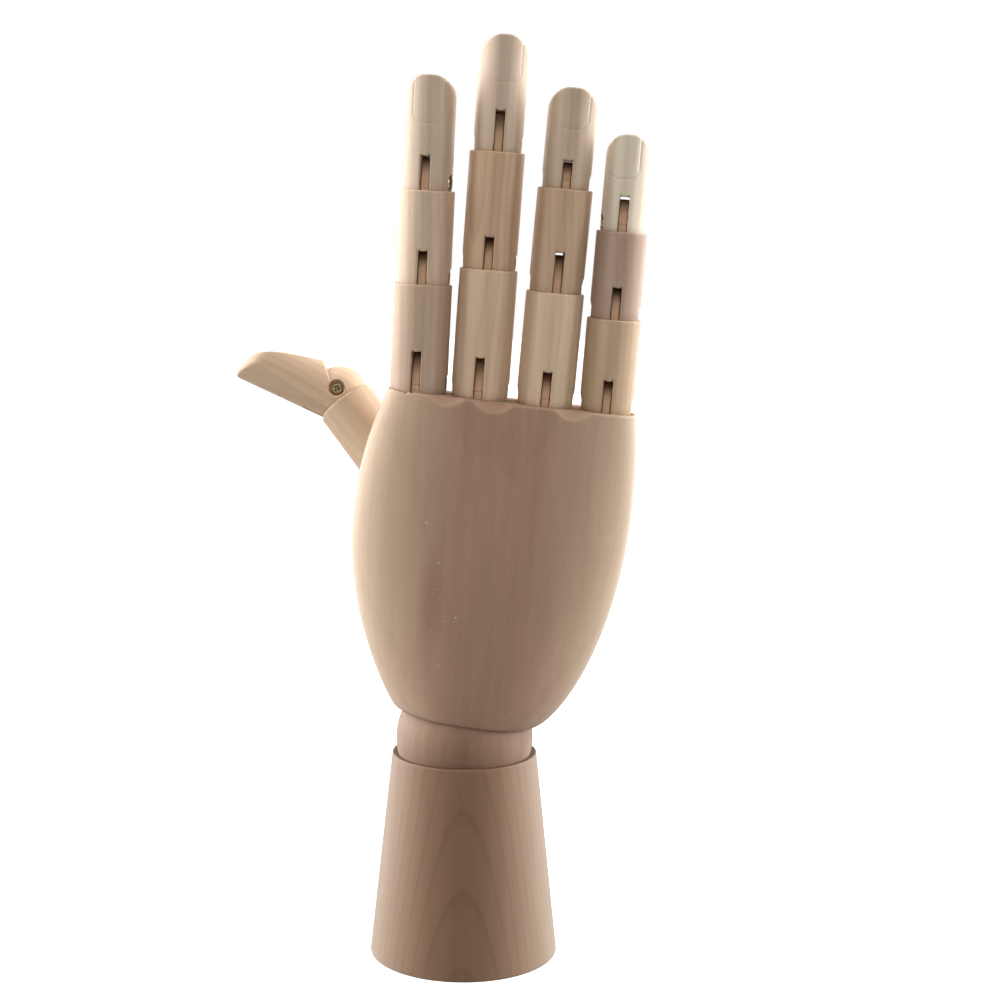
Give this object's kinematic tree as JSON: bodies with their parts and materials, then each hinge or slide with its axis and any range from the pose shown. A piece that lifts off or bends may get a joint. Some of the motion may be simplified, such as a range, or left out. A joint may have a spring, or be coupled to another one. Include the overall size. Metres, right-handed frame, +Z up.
{
  "type": "jointed wooden hand mannequin",
  "caption": "Artist's wooden hand mannequin: right hand with jointed fingers and thumb, palm block on a sprung wrist ball in a turned conical base.",
  "frame": {"origin": "middle of the base's underside, on the surface the object stands on", "axes": "+Z up along the base's axis, -Y out of the back of the hand, +Y out of the palm, +X towards the little finger"},
  "size_m": [0.1353, 0.0672, 0.2985],
  "materials": {
    "palm_wood": "satin",
    "base_wood": "satin",
    "ball_wood": "satin",
    "tongue_wood": "satin",
    "rosy_wood": "satin",
    "beige_wood": "satin",
    "tan_wood": "satin",
    "brown_wood": "satin",
    "grey_brown_wood": "satin",
    "cream_wood": "satin",
    "honey_wood": "satin",
    "screw_steel": "satin",
    "spring_steel": "satin"
  },
  "bodies": {
    "base": {"base": "base_wood"},
    "spring_anchor": {"anchor_disc": "tongue_wood", "anchor_eye": "spring_steel", "wrist_spring_lower": "spring_steel"},
    "wrist_ball": {"wrist_ball": "ball_wood"},
    "palm": {"palm": "palm_wood", "wrist_spring_upper": "spring_steel", "palm_cross_pin": "tongue_wood", "index_knuckle_tongue": "tongue_wood", "middle_knuckle_tongue": "tongue_wood", "ring_knuckle_tongue": "tongue_wood", "little_knuckle_tongue": "tongue_wood", "thumb_root_tongue": "tongue_wood"},
    "index_first": {"index_first_segment": "rosy_wood", "index_knuckle_screw": "screw_steel", "index_middle_tongue": "tongue_wood"},
    "index_middle": {"index_middle_segment": "beige_wood", "index_middle_screw": "screw_steel", "index_end_tongue": "tongue_wood"},
    "index_tip": {"index_tip": "beige_wood", "index_end_screw": "screw_steel"},
    "middle_first": {"middle_first_segment": "tan_wood", "middle_knuckle_screw": "screw_steel", "middle_middle_tongue": "tongue_wood"},
    "middle_middle": {"middle_middle_segment": "brown_wood", "middle_middle_screw": "screw_steel", "middle_end_tongue": "tongue_wood"},
    "middle_tip": {"middle_tip": "beige_wood", "middle_end_screw": "screw_steel"},
    "ring_first": {"ring_first_segment": "tan_wood", "ring_knuckle_screw": "screw_steel", "ring_middle_tongue": "tongue_wood"},
    "ring_middle": {"ring_middle_segment": "grey_brown_wood", "ring_middle_screw": "screw_steel", "ring_end_tongue": "tongue_wood"},
    "ring_tip": {"ring_tip": "beige_wood", "ring_end_screw": "screw_steel"},
    "little_first": {"little_first_segment": "tan_wood", "little_knuckle_screw": "screw_steel", "little_middle_tongue": "tongue_wood"},
    "little_middle": {"little_middle_segment": "grey_brown_wood", "little_middle_screw": "screw_steel", "little_end_tongue": "tongue_wood"},
    "little_tip": {"little_tip": "cream_wood", "little_end_screw": "screw_steel"},
    "thumb_long": {"thumb_long_segment": "honey_wood", "thumb_root_screw": "screw_steel", "thumb_tip_tongue": "tongue_wood"},
    "thumb_tip": {"thumb_tip": "honey_wood", "thumb_tip_screw": "screw_steel"}
  },
  "joints": [
    {"name": "wrist_turn", "type": "hinge", "parent": "base", "child": "spring_anchor", "pos_m": [0, 0, 0.0727], "axis": [0, 0, 1], "range_deg": [-180, 180]},
    {"name": "wrist_bend", "type": "hinge", "parent": "spring_anchor", "child": "wrist_ball", "pos_m": [0, 0, 0.0727], "axis": [1, 0, 0], "range_deg": [-16, 16]},
    {"name": "wrist_tilt", "type": "hinge", "parent": "wrist_ball", "child": "palm", "pos_m": [0, 0, 0.0727], "axis": [0, 1, 0], "range_deg": [-26, 14]},
    {"name": "index_knuckle", "type": "hinge", "parent": "palm", "child": "index_first", "pos_m": [-0.01529, 0, 0.18934], "axis": [-0.9952, 0.0872, 0.0435], "range_deg": [-20, 60]},
    {"name": "index_middle_joint", "type": "hinge", "parent": "index_first", "child": "index_middle", "pos_m": [-0.01381, 0, 0.22331], "axis": [-0.9984, 0.0349, 0.0436], "range_deg": [-20, 65]},
    {"name": "index_end_joint", "type": "hinge", "parent": "index_middle", "child": "index_tip", "pos_m": [-0.01253, 0, 0.25268], "axis": [-0.9936, 0.1045, 0.0434], "range_deg": [-20, 65]},
    {"name": "middle_knuckle", "type": "hinge", "parent": "palm", "child": "middle_first", "pos_m": [0.0044, 0, 0.18727], "axis": [-0.9954, 0.0698, 0.0661], "range_deg": [-20, 60]},
    {"name": "middle_middle_joint", "type": "hinge", "parent": "middle_first", "child": "middle_middle", "pos_m": [0.00711, 0, 0.22808], "axis": [-0.9964, 0.0523, 0.0662], "range_deg": [-20, 65]},
    {"name": "middle_end_joint", "type": "hinge", "parent": "middle_middle", "child": "middle_tip", "pos_m": [0.00955, 0, 0.2648], "axis": [-0.9976, -0.0175, 0.0663], "range_deg": [-20, 65]},
    {"name": "ring_knuckle", "type": "hinge", "parent": "palm", "child": "ring_first", "pos_m": [0.02528, 0, 0.18507], "axis": [-0.9962, 0.0175, 0.0854], "range_deg": [-20, 60]},
    {"name": "ring_middle_joint", "type": "hinge", "parent": "ring_first", "child": "ring_middle", "pos_m": [0.02836, 0, 0.22094], "axis": [-0.9962, -0.0175, 0.0854], "range_deg": [-20, 65]},
    {"name": "ring_end_joint", "type": "hinge", "parent": "ring_middle", "child": "ring_tip", "pos_m": [0.03114, 0, 0.25342], "axis": [-0.9962, 0.0175, 0.0854], "range_deg": [-20, 65]},
    {"name": "little_knuckle", "type": "hinge", "parent": "palm", "child": "little_first", "pos_m": [0.04498, 0, 0.183], "axis": [-0.9958, 0.0523, 0.0749], "range_deg": [-20, 60]},
    {"name": "little_middle_joint", "type": "hinge", "parent": "little_first", "child": "little_middle", "pos_m": [0.0472, 0, 0.21262], "axis": [-0.9966, 0.0349, 0.0749], "range_deg": [-20, 65]},
    {"name": "little_end_joint", "type": "hinge", "parent": "little_middle", "child": "little_tip", "pos_m": [0.04927, 0, 0.24014], "axis": [-0.9948, 0.0698, 0.0748], "range_deg": [-20, 65]},
    {"name": "thumb_root", "type": "hinge", "parent": "palm", "child": "thumb_long", "pos_m": [-0.01982, 0.011, 0.15482], "axis": [-0.0423, -0.9423, 0.3321], "range_deg": [-30, 15]},
    {"name": "thumb_end_joint", "type": "hinge", "parent": "thumb_long", "child": "thumb_tip", "pos_m": [-0.04246, 0.02205, 0.18328], "axis": [-0.0423, -0.9423, 0.3321], "range_deg": [-95, 4]}
  ]
}
